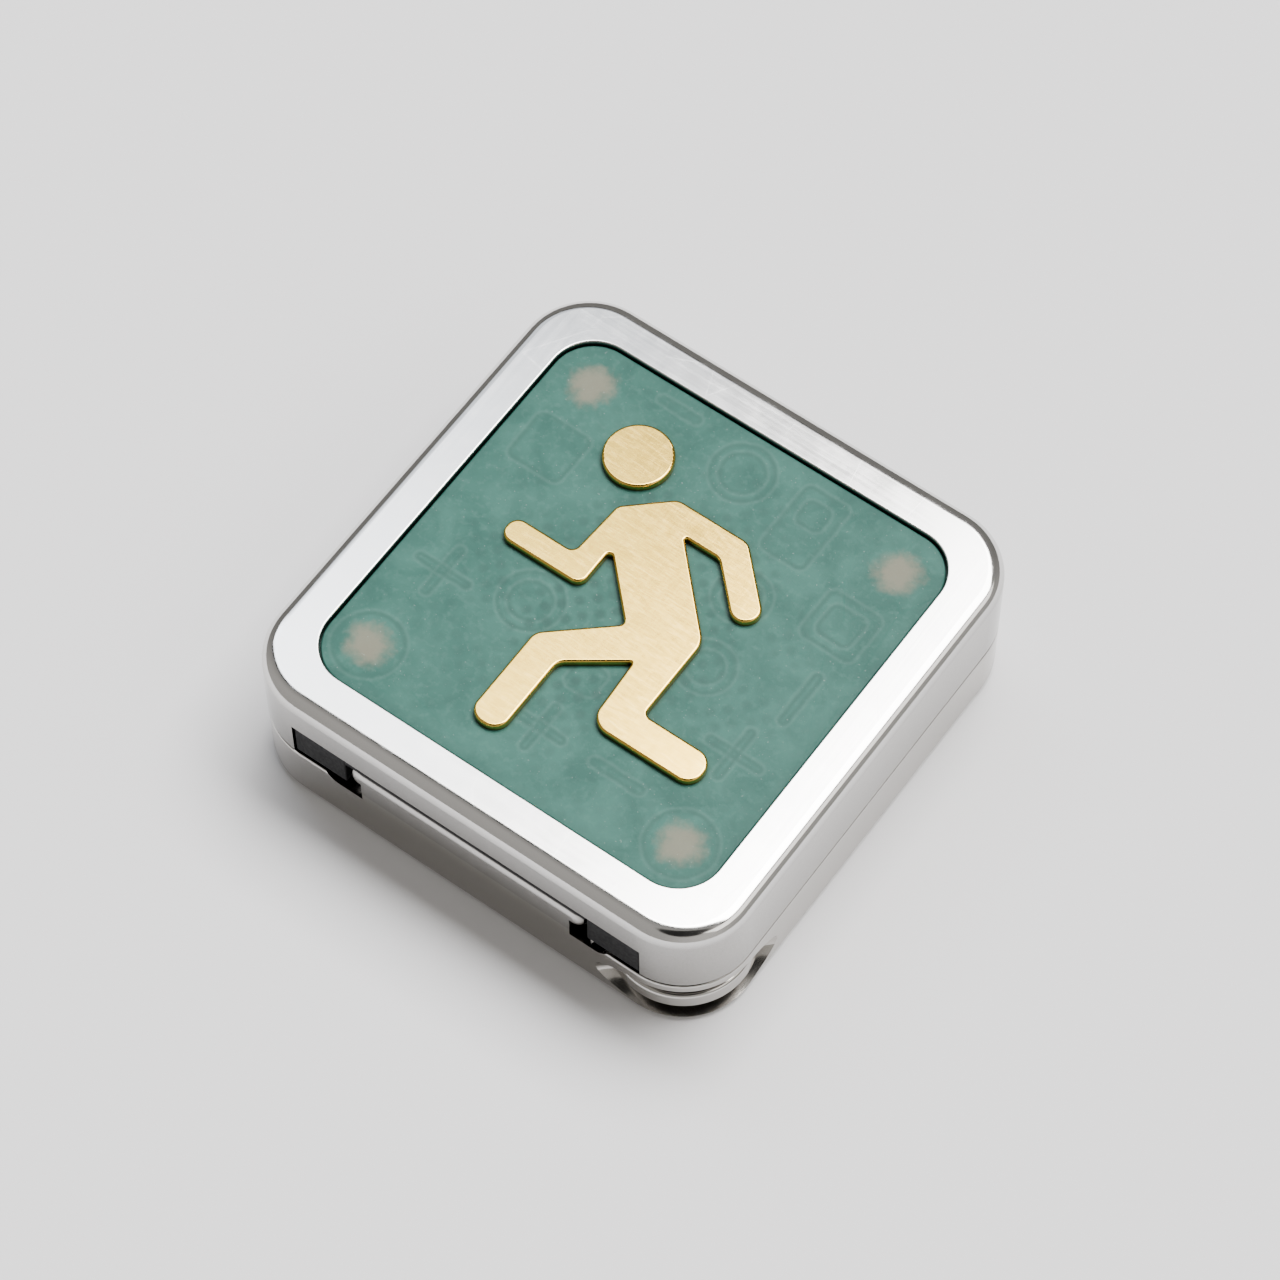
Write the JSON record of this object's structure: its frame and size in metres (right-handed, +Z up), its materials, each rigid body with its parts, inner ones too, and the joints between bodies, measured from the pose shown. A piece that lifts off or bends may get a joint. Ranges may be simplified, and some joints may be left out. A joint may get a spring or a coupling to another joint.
{
  "type": "pocket case with a walking-figure lid",
  "caption": "Small square hinged metal case with a raised brass walking figure on a green translucent lid panel, and a lanyard bar across a corner.",
  "frame": {"origin": "centre of the flat bottom of the case", "axes": "+Z up through the lid; the hinge side faces -Y; the lanyard corner is at +X, -Y"},
  "size_m": [0.04, 0.04, 0.0127],
  "materials": {
    "polished_steel": "polished, very fine brushing",
    "brass": "pale brass, fine swirled brushing, rounded edges",
    "green_lens": "translucent green, satin gloss",
    "black_knuckle": "matte black",
    "chassis_plastic": "fine matte texture",
    "gasket_rubber": "matte",
    "board": "green solder mask",
    "board_metal": "bright plated steel",
    "component_plastic": "moulded",
    "light_chip": "white moulded body",
    "cell_steel": "bright steel can",
    "magnet": "nickel plate",
    "spring_steel": "bright wire",
    "liner_rubber": "matte, fine moulded texture",
    "button_plastic": "satin grey"
  },
  "bodies": {
    "base": {"base_shell": "polished_steel", "base_liner": "liner_rubber", "base_magnets": "magnet", "lanyard_bar": "polished_steel", "hinge_spring": "spring_steel"},
    "lid": {"lid_shell": "polished_steel", "lid_magnets": "magnet", "knuckle_left": "black_knuckle", "knuckle_right": "black_knuckle", "hinge_strip": "black_knuckle", "hinge_pin_left": "spring_steel", "hinge_pin_right": "spring_steel", "lens": "green_lens", "lens_gasket": "gasket_rubber", "figure_body": "brass", "figure_head": "brass", "circuit_board": "board", "board_screws": "board_metal", "control_chip": "component_plastic", "light_chips": "light_chip", "inductors": "component_plastic", "chassis": "chassis_plastic", "coin_cell": "cell_steel", "cell_contact": "board_metal", "battery_door": "chassis_plastic", "door_screw": "board_metal", "push_switch": "component_plastic"},
    "button": {"light_button": "button_plastic", "button_spring": "spring_steel"}
  },
  "joints": [
    {"name": "lid_hinge", "type": "hinge", "parent": "base", "child": "lid", "pos_m": [0, -0.0185, 0.0069], "axis": [1, 0, 0], "range_deg": [0, 90]},
    {"name": "button_press", "type": "slide", "parent": "lid", "child": "button", "axis": [0, 0, 1], "range_m": [0, 0.0003], "stiffness_N_per_m": 300, "springref_m": -0.001, "deforming": ["button_spring"]}
  ]
}
